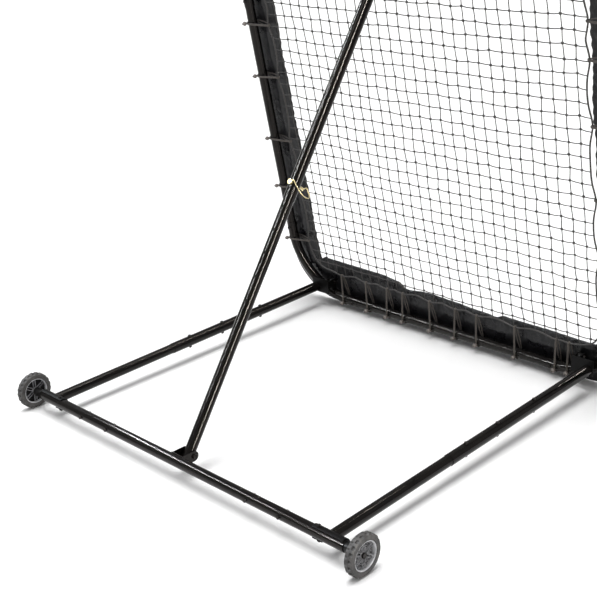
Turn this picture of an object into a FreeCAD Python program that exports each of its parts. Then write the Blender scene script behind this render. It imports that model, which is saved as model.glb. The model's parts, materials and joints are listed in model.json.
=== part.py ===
import FreeCAD, Part
import math
import os

# Pitch back rebounder: a padded net frame that leans back on a wheeled tube base
# and is held by a telescoping strut with a lock pin. Millimetres, +Z up, X across
# the width, +Y towards the player. The origin is the middle of the footprint.

V = FreeCAD.Vector
X_AXIS = V(1, 0, 0)
Y_AXIS = V(0, 1, 0)
Z_AXIS = V(0, 0, 1)

# --- clearances ---------------------------------------------------------------
slip = 0.10            # radial clearance of a tube or pin that slides in a bore
seat = 0.10            # gap under a saddle or a bolt head on a round tube
run_gap = 0.5          # gap beside a piece that turns
loop_gap = 0.4         # gap between an elastic loop and what it goes round

# --- tubes --------------------------------------------------------------------
tube_od = 40.0         # rear bar, rear side tubes, straight frame tubes, inner strut
tube_wall = 1.6
sleeve_wall = 1.6      # wall of the larger tubes, which slide over the others
sleeve_od = tube_od + 2 * (slip + sleeve_wall)
tube_r = tube_od / 2
sleeve_r = sleeve_od / 2

# --- wheels -------------------------------------------------------------------
wheel_d = 140.0
tyre_w = 30.0
tyre_bore = 100.0
lug_depth = 4.5
lug_count = 20
lug_gap_r = 7.0        # radius of the scallop between two lugs
tread_rib = 2.5        # half width of the plain rib in the middle of the tread
rim_wall = 3.0
rim_w = 26.0
ring_r = 29.0          # inner ring that ties the spokes together
ring_wall = 2.5
spoke_count = 6
spoke_gap = 11.0       # between the middles of a spoke's two ribs
rib_t = 3.0
rib_w = 16.0
hub_d = 26.0
hub_in = 18.0          # hub's inner end from the wheel's middle
hub_out = 3.0
axle_d = 12.0
axle_head_across = 18.0
axle_head_t = 7.0
wheel_off = 62.0       # middle of each tyre from the end of the bar
wheel_r = wheel_d / 2

# --- rear bar -----------------------------------------------------------------
bar_seam_x = 392.0     # centre tube meets the end tubes here
bar_past_side = 69.0   # bar beyond the axis of a side tube
coupler_from_x = 300.0
coupler_to_x = 545.0
bar_bolt_xs = (365.0, 515.0)
button_xs = (330.0, 410.0)
button_d = 9.0
button_rise = 3.5
spacer_d = 34.0
plug_len = 30.0

# --- base side tubes ----------------------------------------------------------
side_off = 58.0        # side tube's axis outside the middle of its hinge
side_seam = 592.0      # from the bar's axis to the end of the larger front tube
side_insert = 560.0    # length of the rear tube that is inside the front tube
side_rise = 26.0       # front end of the side tubes over their rear end
side_bolt_ys = (690.0, 875.0, 1105.0)
saddle_wall = 3.5
saddle_w = 126.0
saddle_tab_w = 40.0    # the narrow tab under the bar
saddle_front = 60.0    # angle below the bar that the full width reaches, degrees
saddle_reach = 118.0   # angle over and under the bar that wing and tab reach to

# --- net frame, modelled upright and then leaned back -------------------------
lean = 11.67           # degrees from the vertical
frame_y = 1570.0       # from the bar's axis to the pad's rear bottom edge
frame_w = 1700.0       # between the axes of the two uprights
frame_h = 1720.0       # between the axes of the bottom and top tubes
frame_z = 55.0         # bottom tube's axis over the pad's bottom edge
pad_gap = 5.3          # between the frame's largest tubes and the pad
tube_back = sleeve_od / 2 + pad_gap
bend_r = 290.0         # centre line of the corner bends
corner_tail = 62.0     # straight end of each corner tube
frame_insert = 54.0    # length of a straight tube inside a corner tube
frame_bolt_in = 27.0   # bolt from the end of the corner tube

# --- hinges between base and frame --------------------------------------------
hinge_in = 195.0       # middle of a hinge inside the upright's axis
hinge_back = 22.7      # hinge axis behind the pad's rear face
hinge_up = 127.2       # hinge axis above the pad's bottom edge
hinge_d = 10.0
lug_t = 16.0
lug_r = 15.0
fork_ear_r = 17.0
fork_ear_t = 5.0
fork_gap = 1.0         # beside the lug, each side
web_t = 5.0
web_back = 40.0        # web's front face behind the hinge axis
web_drop = 24.0        # web's lower edge under the side tube's axis
web_rise = 42.0

# --- strut --------------------------------------------------------------------
foot_y = 62.0          # foot pivot in front of the bar's axis
foot_bolt_d = 10.0
foot_tail = 20.0       # inner tube below the foot pivot
clevis_play = 4.0      # beside the inner tube, each side
clevis_gap = tube_od + 2 * clevis_play
clevis_t = 4.0
clevis_r = 19.0
head_drop = 60.0       # head pivot from the top tube's axis
head_w = 40.0
head_bolt_d = 10.0
head_play = 9.0        # radial play of the head's eye round its bolt
head_plug = 60.0
inner_len = 1270.0
outer_from = 947.0     # lower end of the outer tube, from the foot pivot
pin_at = 1008.0        # lock pin, from the foot pivot
notch_pitch = 88.0
notch_count = 6
top_ear_gap = head_w + 2 * clevis_play
top_ear_r = 20.0

# --- lock pin and its wire bail -----------------------------------------------
pin_d = 10.0
pin_tip = 47.0         # from the strut's axis to the pin's tip
pin_head_w = 17.0
pin_head_t = 9.0
slot_play = 0.4        # beside the pin in the inner tube
wire_d = 3.2
bail_side = 14.5       # wire's plane beside the pin's axis
bail_reach = 60.0
bail_over = 5.0        # wire's middle past the pin's tip
bail_slant = 20.0
bail_bends = (3.4, 32.0, 28.0, 5.0)

# --- fasteners ----------------------------------------------------------------
bolt_d = 8.0
head_across = 13.0
head_t = 5.0
tip_out = 3.0          # bolt past its nut
flat_head_t = 4.0      # heads and nuts beside the pad
flat_tip_out = 0.5

# --- net, rope, elastic loops and pad -----------------------------------------
net_t = 2.4
rope_d = 7.0
rope_in_side = 92.0    # rope inside the uprights' axes
rope_in_end = 123.0    # rope inside the bottom and top tubes' axes
rope_corner = 90.0
loop_d = 4.0
ball_d = 18.0
# places of the loops: shares of the half width along the bottom and top tubes, and
# of the height up the uprights
loops_across = (-0.678, -0.507, -0.373, -0.266, -0.085, 0.066, 0.200, 0.425, 0.646, 0.714)
loops_up = (0.156, 0.313, 0.449, 0.619, 0.755, 0.834)
loop_bolt_gap = 20.0   # nearest that a loop sits to a bolt of the frame
pad_side = 60.0        # pad outside the uprights' axes
pad_over = 55.0        # pad above the top tube's axis
pad_t = 25.0
pad_band_side = 165.0
pad_band_end = 185.0
pad_corner = 245.0
pad_seam = 1.0

# --- places worked out from the sizes above -----------------------------------
lean_rad = math.radians(lean)
front_y = frame_y + pad_t / math.cos(lean_rad)
bar_y = -(front_y - wheel_r) / 2
half_w = frame_w / 2
hinge_x = half_w - hinge_in
side_x = hinge_x + side_off
bar_end_x = side_x + bar_past_side
wheel_x = bar_end_x + wheel_off
hub_start = wheel_x - hub_in
top_z = frame_z + frame_h
mid_z = frame_z + frame_h / 2


def leaned_point(x, y, z):
    """A point of the upright frame, where it stands once the frame leans back."""
    c = math.cos(lean_rad)
    s = math.sin(lean_rad)
    return V(x, bar_y + frame_y + y * c - z * s, y * s + z * c)


def leaned(shape):
    turned = shape.copy()
    turned.rotate(V(0, 0, 0), X_AXIS, lean)
    turned.translate(V(0, bar_y + frame_y, 0))
    return turned


hinge_point = leaned_point(0, -hinge_back, hinge_up)
top_point = leaned_point(0, -tube_back, top_z)
foot_point = V(0, bar_y + foot_y, wheel_r)
strut_dir = (top_point - foot_point).normalize()
pin_dir = X_AXIS.cross(strut_dir) * -1
head_at = (top_point - foot_point).Length - head_drop
head_point = foot_point + strut_dir * head_at


# --- building blocks ----------------------------------------------------------
def rod(start, end, radius):
    along = end - start
    return Part.makeCylinder(radius, along.Length, start, along)


def tube(start, end, outer_r, inner_r):
    return rod(start, end, outer_r).cut(rod(start, end, inner_r))


def box(x0, x1, y0, y1, z0, z1):
    return Part.makeBox(x1 - x0, y1 - y0, z1 - z0, V(x0, y0, z0))


def mirrored(shape):
    return shape.mirror(V(0, 0, 0), X_AXIS)


def hex_prism(base, direction, across, height):
    """A hexagon across its flats, standing on base along direction."""
    radius = across / math.sqrt(3)
    points = []
    for i in range(7):
        angle = math.radians(60 * i)
        points.append(V(radius * math.cos(angle), radius * math.sin(angle), 0))
    prism = Part.Face(Part.makePolygon(points)).extrude(V(0, 0, height))
    prism.Placement = FreeCAD.Placement(base, FreeCAD.Rotation(Z_AXIS, direction))
    return prism


def bolt(centre, direction, grip, diameter, across, tall, tip=tip_out):
    """A hex bolt through a stack that is grip thick, its head at the start."""
    way = V(direction).normalize()
    seat_at = centre - way * (grip / 2)
    head = hex_prism(seat_at - way * tall, way, across, tall)
    shank = rod(seat_at, centre + way * (grip / 2 + tall + tip), diameter / 2)
    return head.fuse(shank).removeSplitter()


def nut(centre, direction, grip, diameter, across, tall):
    way = V(direction).normalize()
    base = centre + way * (grip / 2)
    bore = rod(base - way, base + way * (tall + 1), diameter / 2)
    return hex_prism(base, way, across, tall).cut(bore)


def drilled(shape, centre, direction, diameter, depth):
    """The shape with a round hole of this diameter through it, slip included."""
    way = V(direction).normalize() * depth
    return shape.cut(rod(centre - way, centre + way, diameter / 2 + slip))


def swept(points, radii, radius):
    """A round rod along straight runs that are joined by tangent arcs."""
    edges = []
    last = points[0]
    for i in range(1, len(points) - 1):
        back = (points[i - 1] - points[i]).normalize()
        onward = (points[i + 1] - points[i]).normalize()
        half = back.getAngle(onward) / 2
        cut = radii[i - 1] / math.tan(half)
        start = points[i] + back * cut
        end = points[i] + onward * cut
        inward = (back + onward).normalize()
        middle = points[i] + inward * (radii[i - 1] / math.sin(half) - radii[i - 1])
        if (start - last).Length > 1e-6:
            edges.append(Part.makeLine(last, start))
        edges.append(Part.Arc(start, middle, end).toShape())
        last = end
    edges.append(Part.makeLine(last, points[-1]))
    return pipe(edges, points[0], points[1] - points[0], radius)


def pipe(edges, start, direction, radius):
    circle = Part.Wire(Part.makeCircle(radius, start, direction))
    return Part.Wire(edges).makePipeShell([circle], True, True)


def rounded_plate(x0, x1, z0, z1, y0, y1, corners):
    """A plate in the frame's plane with its own radius at each corner, from the
    lower left round to the upper left."""
    plate = box(x0, x1, y0, y1, z0, z1)
    spots = ((x0, z0, 1, 1), (x1, z0, -1, 1), (x1, z1, -1, -1), (x0, z1, 1, -1))
    for (x, z, sx, sz), radius in zip(spots, corners):
        if radius <= 0:
            continue
        cx = x + sx * radius
        cz = z + sz * radius
        corner = box(min(x, cx), max(x, cx), y0, y1, min(z, cz), max(z, cz))
        round_part = rod(V(cx, y0, cz), V(cx, y1, cz), radius)
        plate = plate.cut(corner.cut(round_part))
    return plate


# --- wheels -------------------------------------------------------------------
def make_tyre():
    half = tyre_w / 2
    outer = wheel_r
    bore = tyre_bore / 2
    shoulder = 5.0
    profile = [
        V(wheel_x - half, 0, bore),
        V(wheel_x - half, 0, outer - shoulder),
        V(wheel_x - half + shoulder, 0, outer),
        V(wheel_x + half - shoulder, 0, outer),
        V(wheel_x + half, 0, outer - shoulder),
        V(wheel_x + half, 0, bore),
        V(wheel_x - half, 0, bore),
    ]
    tyre = Part.Face(Part.makePolygon(profile)).revolve(V(0, 0, 0), X_AXIS, 360)
    pitch = 360.0 / lug_count
    gap_at = outer - lug_depth + lug_gap_r
    cuts = []
    for i in range(lug_count):
        for x0, x1, shift in ((wheel_x - half - 1, wheel_x - tread_rib, 0.0),
                              (wheel_x + tread_rib, wheel_x + half + 1, 0.5)):
            gap = rod(V(x0, 0, gap_at), V(x1, 0, gap_at), lug_gap_r)
            gap.rotate(V(0, 0, 0), X_AXIS, pitch * (i + shift))
            cuts.append(gap)
    return tyre.cut(Part.makeCompound(cuts))


def make_rim():
    outer_r = tyre_bore / 2
    barrel = tube(V(wheel_x - rim_w / 2, 0, 0), V(wheel_x + rim_w / 2, 0, 0),
                  outer_r, outer_r - rim_wall)
    ring = tube(V(wheel_x - rib_w / 2, 0, 0), V(wheel_x + rib_w / 2, 0, 0),
                ring_r, ring_r - ring_wall)
    hub = rod(V(hub_start, 0, 0), V(wheel_x + hub_out, 0, 0), hub_d / 2)
    parts = [ring, hub]
    for i in range(spoke_count):
        angle = 360.0 / spoke_count * i
        reach = outer_r - rim_wall / 2
        for offset in (-spoke_gap / 2, spoke_gap / 2):
            rib = box(wheel_x - rib_w / 2, wheel_x + rib_w / 2, offset - rib_t / 2,
                      offset + rib_t / 2, hub_d / 2 - 4, reach)
            rib.rotate(V(0, 0, 0), X_AXIS, angle)
            parts.append(rib)
        web = box(wheel_x - 2, wheel_x + 2, -spoke_gap / 2, spoke_gap / 2, ring_r - 1, reach)
        web.rotate(V(0, 0, 0), X_AXIS, angle)
        parts.append(web)
    rim = barrel.multiFuse(parts).removeSplitter()
    bore_r = axle_d / 2 + slip
    return rim.cut(rod(V(hub_start - 1, 0, 0), V(wheel_x + hub_out + 1, 0, 0), bore_r))


def on_axle(shape):
    placed = shape.copy()
    placed.translate(V(0, bar_y, wheel_r))
    return placed


def bar_point(x, y=0.0, z=0.0):
    return V(x, bar_y + y, wheel_r + z)


def make_spacer():
    """The plug in the bar's end and the collar that keeps the wheel off it."""
    inside_r = tube_r - tube_wall - slip
    collar = rod(bar_point(bar_end_x), bar_point(hub_start - run_gap), spacer_d / 2)
    plug = rod(bar_point(bar_end_x - plug_len), bar_point(bar_end_x), inside_r)
    bore = rod(bar_point(bar_end_x - plug_len - 1), bar_point(hub_start), axle_d / 2 + slip)
    return collar.fuse(plug).cut(bore)


def make_axle():
    """The shoulder bolt that the wheel turns on; its threads end in the plug."""
    out_x = wheel_x + hub_out + run_gap
    head = hex_prism(bar_point(out_x), X_AXIS, axle_head_across, axle_head_t)
    return head.fuse(rod(bar_point(bar_end_x - plug_len), bar_point(out_x), axle_d / 2))


# --- rear bar -----------------------------------------------------------------
def drill_bar(shape):
    for side in (-1, 1):
        for x in bar_bolt_xs:
            shape = drilled(shape, bar_point(side * x), Y_AXIS, bolt_d, tube_od)
        for x in button_xs:
            way = bar_point(side * x, 0, tube_r)
            shape = drilled(shape, way, Z_AXIS, button_d, tube_r)
        shape = drilled(shape, bar_point(side * saddle_bolt_x), Z_AXIS, bolt_d, tube_od)
    return shape


def make_bar_piece(x0, x1):
    inner_r = tube_r - tube_wall
    return drill_bar(tube(bar_point(x0), bar_point(x1), tube_r, inner_r))


def make_coupler():
    outer_r = tube_r - tube_wall - slip
    piece = tube(bar_point(coupler_from_x), bar_point(coupler_to_x),
                 outer_r, outer_r - tube_wall)
    return drill_bar(piece)


def make_button(x):
    """A spring button: it stands out of the bar's top and is headed inside."""
    inside_r = tube_r - 2 * tube_wall - 2 * slip
    stem_from = bar_point(x, 0, inside_r - 4.0)
    stem_to = bar_point(x, 0, tube_r + button_rise - 1.5)
    stem = rod(stem_from, stem_to, button_d / 2)
    dome = Part.makeCone(button_d / 2, button_d / 4, 1.5, stem_to, Z_AXIS)
    return stem.fuse(dome)


# --- base side tubes ----------------------------------------------------------
side_start = bar_point(side_x)
web_y = hinge_point.y - web_back - web_t
side_end = V(side_x, web_y, wheel_r + side_rise)
side_dir = (side_end - side_start).normalize()
saddle_bolt_x = side_x - saddle_w / 2 + saddle_tab_w / 2


def side_point(along):
    """A point on a side tube's axis at this depth from the bar's axis."""
    return side_start + side_dir * (along / side_dir.y)


def make_side_rear():
    piece = tube(side_point(tube_r * 0.5), side_point(side_seam + side_insert),
                 tube_r, tube_r - tube_wall)
    bar_and_saddle = rod(bar_point(side_x - saddle_w), bar_point(side_x + saddle_w),
                         tube_r + seat + saddle_wall)
    piece = piece.cut(bar_and_saddle)
    for y in side_bolt_ys:
        piece = drilled(piece, side_point(y), Z_AXIS, bolt_d, sleeve_od)
    return piece


def make_side_front():
    piece = tube(side_point(side_seam), side_end + side_dir * 10, sleeve_r,
                 tube_r + slip)
    far = box(0, side_x * 2, web_y, web_y + 100, 0, wheel_d * 2)
    piece = piece.cut(far)
    for y in side_bolt_ys:
        piece = drilled(piece, side_point(y), Z_AXIS, bolt_d, sleeve_od)
    return piece


def make_hinge_fork():
    """The plate across the side tube's end, with the two ears of the hinge."""
    inner = lug_t / 2 + fork_gap
    web = box(hinge_x - inner - fork_ear_t, side_x + sleeve_r + 2, web_y,
              web_y + web_t, side_end.z - web_drop, side_end.z + web_rise)
    at = V(0, hinge_point.y, hinge_point.z)
    root = V(0, web_y + web_t / 2, side_end.z + web_rise - fork_ear_r - 6)
    ears = []
    for x0 in (hinge_x - inner - fork_ear_t, hinge_x + inner):
        ear = ear_plate(at, fork_ear_r, root, x0, x0 + fork_ear_t)
        ears.append(ear.cut(box(0, side_x * 2, web_y - 100, web_y, -50, 400)))
    fork = web.multiFuse(ears).removeSplitter()
    return drilled(fork, at + X_AXIS * hinge_x, X_AXIS, hinge_d, lug_t * 2)


def shell_sector(x0, x1, inner_r, outer_r, low, high):
    """A strip round the X axis from one angle to another, both from +Y upwards."""
    points = [V(x0, inner_r, 0), V(x1, inner_r, 0), V(x1, outer_r, 0),
              V(x0, outer_r, 0), V(x0, inner_r, 0)]
    face = Part.Face(Part.makePolygon(points))
    face.rotate(V(0, 0, 0), X_AXIS, low)
    return face.revolve(V(0, 0, 0), X_AXIS, high - low)


def make_saddle():
    """The bracket on the side tube's end that hugs the bar: a wide wing over it
    and a narrow tab under it, with one bolt down through both."""
    inner_r = tube_r + seat
    outer_r = inner_r + saddle_wall
    x0 = side_x - saddle_w / 2
    body = shell_sector(x0, x0 + saddle_w, inner_r, outer_r, -saddle_front, saddle_reach)
    tab = shell_sector(x0, x0 + saddle_tab_w, inner_r, outer_r, -saddle_reach, 0)
    saddle = on_axle(body.fuse(tab).removeSplitter())
    return drilled(saddle, bar_point(saddle_bolt_x), Z_AXIS, bolt_d, tube_od)


# --- strut foot ---------------------------------------------------------------
def ear_plate(centre, radius, towards, x0, x1):
    """A plate with a round end about centre that runs back to another point."""
    middle_x = V(x0, centre.y, centre.z)
    root = V(x0, towards.y, towards.z)
    along = (root - middle_x).normalize()
    across = X_AXIS.cross(along) * radius
    points = [middle_x + across, middle_x - across, root - across, root + across,
              middle_x + across]
    slab = Part.Face(Part.makePolygon(points)).extrude(V(x1 - x0, 0, 0))
    end = rod(middle_x, V(x1, centre.y, centre.z), radius)
    return slab.fuse(end)


def make_clevis():
    inner_r = tube_r + seat
    outer_r = inner_r + saddle_wall
    half = clevis_gap / 2 + clevis_t
    strap = on_axle(shell_sector(-half, half, inner_r, outer_r, -70.0, 70.0))
    ears = []
    for x0 in (clevis_gap / 2, -half):
        ears.append(ear_plate(foot_point, clevis_r, bar_point(0), x0, x0 + clevis_t))
    core = rod(bar_point(-half - 1), bar_point(half + 1), inner_r)
    clevis = strap.multiFuse(ears).cut(core)
    return drilled(clevis, foot_point, X_AXIS, foot_bolt_d, half * 2)


# --- strut --------------------------------------------------------------------
def strut_point(along, across=0.0):
    return foot_point + strut_dir * along + pin_dir * across


def make_inner_strut():
    piece = tube(strut_point(-foot_tail), strut_point(inner_len - foot_tail), tube_r,
                 tube_r - tube_wall)
    piece = drilled(piece, foot_point, X_AXIS, foot_bolt_d, tube_od)
    return piece.cut(pin_slot())


def make_outer_strut():
    piece = tube(strut_point(outer_from), strut_point(head_at - head_plug * 0.5),
                 sleeve_r, tube_r + slip)
    return drilled(piece, strut_point(pin_at), pin_dir, pin_d, sleeve_od)


def make_strut_head():
    """The end fitting: a plug in the outer tube and a wide eye for the bolt."""
    eye_r = head_w / 2 + 1.5
    eye = rod(head_point - X_AXIS * (head_w / 2), head_point + X_AXIS * (head_w / 2), eye_r)
    collar = rod(strut_point(head_at - head_plug * 0.5), strut_point(head_at), sleeve_r)
    plug = rod(strut_point(head_at - head_plug), strut_point(head_at - head_plug * 0.5),
               tube_r)
    slab_half = V(head_w / 2, 0, 0)
    keep = rod(head_point - slab_half, head_point + slab_half, head_plug * 2)
    head = collar.common(keep).multiFuse([plug, eye]).removeSplitter()
    bore = rod(head_point - slab_half * 2, head_point + slab_half * 2,
               head_bolt_d / 2 + head_play)
    return head.cut(bore)


def make_top_clevis():
    half = top_ear_gap / 2 + clevis_t
    ears = []
    for x0 in (top_ear_gap / 2, -half):
        ears.append(ear_plate(head_point, top_ear_r, top_point, x0, x0 + clevis_t))
    bridge = ring_part(half)
    clevis = bridge.multiFuse(ears)
    clevis = clevis.cut(rod(top_point - X_AXIS * half * 2, top_point + X_AXIS * half * 2,
                            tube_r + seat))
    return drilled(clevis, head_point, X_AXIS, head_bolt_d, half * 2)


def ring_part(half):
    """The half band round the top tube that joins the two ears."""
    band = rod(top_point - X_AXIS * half, top_point + X_AXIS * half,
               tube_r + seat + saddle_wall)
    away = top_point + strut_dir * 200
    block = Part.makeBox(half * 4, 400, 400, V(-half * 2, -200, -200))
    block.Placement = FreeCAD.Placement(away, FreeCAD.Rotation(Z_AXIS, strut_dir))
    return band.cut(block)


# --- lock pin -----------------------------------------------------------------
bail_way = (X_AXIS - strut_dir).normalize()
bail_axis = pin_dir.cross(bail_way)
pin_centre = strut_point(pin_at)
pin_head_from = -(sleeve_r + seat + 0.3 + pin_head_t)
bail_at = pin_head_from + pin_head_t / 2


def pin_space(along, out, beside):
    """A point by its place along the pin, out along the bail and beside it."""
    return pin_centre + pin_dir * along + bail_way * out + bail_axis * beside


def pin_slot():
    """The row of pin holes, run together so that the pin can stand between two
    of them while the strut is being drawn in."""
    radius = pin_d / 2 + slot_play
    deep = pin_dir * tube_od
    ends = [strut_point(pin_at), strut_point(pin_at - (notch_count - 1) * notch_pitch)]
    holes = [rod(end - deep, end + deep, radius) for end in ends]
    side = X_AXIS * radius
    corners = [ends[0] + side, ends[1] + side, ends[1] - side, ends[0] - side]
    outline = Part.makePolygon([c - deep for c in corners + corners[:1]])
    return Part.Face(outline).extrude(deep * 2).multiFuse(holes)


def make_lock_pin():
    head = hex_prism(pin_space(pin_head_from, 0, 0), pin_dir, pin_head_w, pin_head_t)
    bore = rod(pin_space(bail_at, 0, -pin_head_w), pin_space(bail_at, 0, pin_head_w),
               wire_d / 2 + slip)
    shank = rod(pin_space(pin_head_from + pin_head_t, 0, 0), pin_space(pin_tip - 3, 0, 0),
                pin_d / 2)
    nose = Part.makeCone(pin_d / 2, pin_d / 2 - 2, 3, pin_space(pin_tip - 3, 0, 0), pin_dir)
    return head.multiFuse([shank, nose]).removeSplitter().cut(bore)


def make_bail():
    far = pin_tip + bail_over
    points = [
        pin_space(bail_at, 0, pin_head_w * 0.3),
        pin_space(bail_at, 0, -bail_side),
        pin_space(bail_at + bail_slant, bail_reach, -bail_side),
        pin_space(far, bail_reach, -bail_side),
        pin_space(far, 0, -bail_side),
        pin_space(far, 0, bail_side * 0.55),
    ]
    return swept(points, bail_bends, wire_d / 2)


# --- net frame (upright) ------------------------------------------------------
def corner_spot(sx, top):
    """The corner of the tubes' centre lines, and the ways in from it."""
    x = sx * half_w
    z = top_z if top else frame_z
    return V(x, -tube_back, z), V(-sx, 0, 0), V(0, 0, -1 if top else 1)


def make_corner(sx, top):
    spot, across, along = corner_spot(sx, top)
    reach = bend_r + corner_tail
    ends = [spot + across * reach, spot, spot + along * reach]
    outer = swept(ends, [bend_r], sleeve_r)
    inner = swept(ends, [bend_r], tube_r + slip)
    corner = outer.cut(inner)
    for spot, _ in frame_bolt_spots():
        corner = drilled(corner, spot, Y_AXIS, bolt_d, sleeve_od)
    return corner


def frame_bolt_spots():
    spots = []
    reach = bend_r + corner_tail - frame_bolt_in
    for sx in (-1, 1):
        for top in (False, True):
            spot, across, along = corner_spot(sx, top)
            spots.append((spot + across * reach, "end"))
            spots.append((spot + along * reach, "side"))
    return spots


def make_straight(start, end):
    piece = tube(start, end, tube_r, tube_r - tube_wall)
    for spot, _ in frame_bolt_spots():
        piece = drilled(piece, spot, Y_AXIS, bolt_d, sleeve_od)
    return piece


def make_hinge_lug():
    """The eye that is welded on the lower corner tube, between the fork's ears."""
    hinge_at = V(hinge_x, -hinge_back, hinge_up)
    tube_at = V(hinge_x, -tube_back, frame_z + bend_rise(half_w - hinge_x))
    x0 = hinge_x - lug_t / 2
    lug = ear_plate(hinge_at, lug_r, tube_at, x0, x0 + lug_t)
    return drilled(lug.cut(bend_space(sleeve_r + seat)), hinge_at, X_AXIS, hinge_d, lug_t)


def bend_space(radius):
    """The room that the lower corner tube takes."""
    spot, across, along = corner_spot(1, False)
    reach = bend_r + corner_tail
    return swept([spot + across * reach, spot, spot + along * reach], [bend_r], radius)


# --- soft parts (upright) -----------------------------------------------------
rope_x = half_w - rope_in_side
rope_z0 = frame_z + rope_in_end
rope_z1 = top_z - rope_in_end


def make_rope():
    """The net's border rope, one closed ring."""
    r = rope_corner
    y = -tube_back
    edges = []
    corners = [(-1, rope_z0), (1, rope_z0), (1, rope_z1), (-1, rope_z1)]
    pts = [V(sx * rope_x, y, z) for sx, z in corners]
    for i in range(4):
        prev = pts[i - 1]
        here = pts[i]
        after = pts[(i + 1) % 4]
        back = (prev - here).normalize()
        onward = (after - here).normalize()
        inward = (back + onward).normalize()
        start = here + back * r
        end = here + onward * r
        middle = here + inward * (r * math.sqrt(2) - r)
        edges.append(Part.Arc(start, middle, end).toShape())
        edges.append(Part.makeLine(end, after - onward * r))
    return pipe(Part.sortEdges(edges)[0], V(-rope_x + r, y, rope_z0), X_AXIS, rope_d / 2)


def make_net():
    """The stretched net as one thin sheet inside its rope."""
    x = rope_x - rope_d / 2 - 0.3
    z0 = rope_z0 + rope_d / 2 + 0.3
    z1 = rope_z1 - rope_d / 2 - 0.3
    corner = rope_corner - rope_d / 2 - 0.3
    y = -tube_back
    sheet = rounded_plate(-x, x, z0, z1, y - net_t / 2, y + net_t / 2, [corner] * 4)
    room = rope_d / 2 + 2 * loop_gap + loop_d
    notches = []
    for _, at, _ in loop_spots():
        slit = box(at.x - loop_d, at.x + loop_d, y - 5, y + 5, at.z - room, at.z + room)
        if abs(at.x) > rope_x - 1:
            slit = box(at.x - room, at.x + room, y - 5, y + 5, at.z - loop_d, at.z + loop_d)
        notches.append(slit)
    return sheet.cut(Part.makeCompound(notches))


def bend_rise(across):
    """How far a corner bend's centre line has risen at this distance from the
    corner of the centre lines."""
    if across >= bend_r:
        return 0.0
    return bend_r - math.sqrt(bend_r ** 2 - (bend_r - across) ** 2)


def bend_widening(across):
    """How much wider a slanting tube is than its diameter, in a level or upright
    plane that cuts its corner bend."""
    if across >= bend_r:
        return 1.0
    return 1 / math.sqrt(1 - (1 - across / bend_r) ** 2)


def beside(place, bolts):
    """A loop's place, moved off any bolt that it would sit on."""
    for bolt in bolts:
        if abs(place - bolt) < loop_bolt_gap:
            return bolt + math.copysign(loop_bolt_gap, place - bolt)
    return place


def rope_rise(across):
    if across >= rope_corner:
        return 0.0
    return rope_corner - math.sqrt(rope_corner ** 2 - (rope_corner - across) ** 2)


def loop_spots():
    """(point on the tube's axis, point on the rope, tube radius there)."""
    spots = []
    reach = bend_r + corner_tail
    y = -tube_back
    bolt_at = bend_r + corner_tail - frame_bolt_in
    bolt_xs = (bolt_at - half_w, half_w - bolt_at)
    bolt_zs = (frame_z + bolt_at, top_z - bolt_at)
    for x in [beside(share * half_w, bolt_xs) for share in loops_across]:
        across = half_w - abs(x)
        radius = tube_r if across > reach + loop_d else sleeve_r * bend_widening(across)
        up = bend_rise(across)
        rope_up = rope_rise(rope_x - abs(x))
        spots.append((V(x, y, frame_z + up), V(x, y, rope_z0 + rope_up), radius))
        spots.append((V(x, y, top_z - up), V(x, y, rope_z1 - rope_up), radius))
    for z in [beside(frame_z + share * frame_h, bolt_zs) for share in loops_up]:
        across = min(z - frame_z, top_z - z)
        radius = tube_r if across > reach + loop_d else sleeve_r * bend_widening(across)
        for sx in (-1, 1):
            x = sx * (half_w - bend_rise(across))
            spots.append((V(x, y, z), V(sx * rope_x, y, z), radius))
    return spots


def make_loop(tube_at, rope_at, tube_radius):
    """An elastic loop round the tube and the rope, in a plane across both."""
    big = tube_radius + loop_gap + loop_d / 2
    small = rope_d / 2 + loop_gap + loop_d / 2
    along = rope_at - tube_at
    length = along.Length
    way = along.normalize()
    side = Y_AXIS
    lift = math.asin((big - small) / length)
    up = side * math.cos(lift) + way * math.sin(lift)
    down = side * -math.cos(lift) + way * math.sin(lift)
    round_tube = Part.Arc(tube_at + up * big, tube_at - way * big,
                          tube_at + down * big).toShape()
    round_rope = Part.Arc(rope_at + down * small, rope_at + way * small,
                          rope_at + up * small).toShape()
    edges = [
        round_tube,
        Part.makeLine(tube_at + down * big, rope_at + down * small),
        round_rope,
        Part.makeLine(rope_at + up * small, tube_at + up * big),
    ]
    start = tube_at + down * big
    direction = rope_at + down * small - start
    ordered = [edges[1], edges[2], edges[3], edges[0]]
    return pipe(ordered, start, direction, loop_d / 2)


def make_ball(tube_at, rope_at, tube_radius):
    """The ball on the loop: behind the tube, and on the uprights out to the side."""
    outward = (tube_at - rope_at).normalize()
    share = 1.0 if abs(outward.x) > 0.5 else 0.12
    away = (outward * share - Y_AXIS).normalize()
    reach = tube_radius + 2 * loop_gap + loop_d + ball_d / 2
    ball = Part.makeSphere(ball_d / 2, tube_at + away * reach)
    return ball


pad_x = half_w + pad_side
pad_z1 = top_z + pad_over


def pad_outline():
    below = -pad_t * math.tan(lean_rad)
    return rounded_plate(-pad_x, pad_x, below, pad_z1, 0, pad_t, [pad_corner] * 4)


def make_pad_end(top):
    """The pad's bottom or top band, right across the frame."""
    z0 = pad_z1 - pad_band_end if top else -pad_t
    z1 = pad_z1 if top else pad_band_end
    return pad_outline().common(box(-pad_x, pad_x, 0, pad_t, z0, z1))


def make_pad_side():
    z0 = pad_band_end + pad_seam
    z1 = pad_z1 - pad_band_end - pad_seam
    return pad_outline().common(box(pad_x - pad_band_side, pad_x, 0, pad_t, z0, z1))


# --- export -------------------------------------------------------------------
def save(name, shape):
    shape.exportStep("parts/" + name + ".step")


def save_pair(name, shape):
    save(name + "_right", shape)
    save(name + "_left", mirrored(shape))


def group(shapes):
    return Part.makeCompound(shapes)


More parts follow.
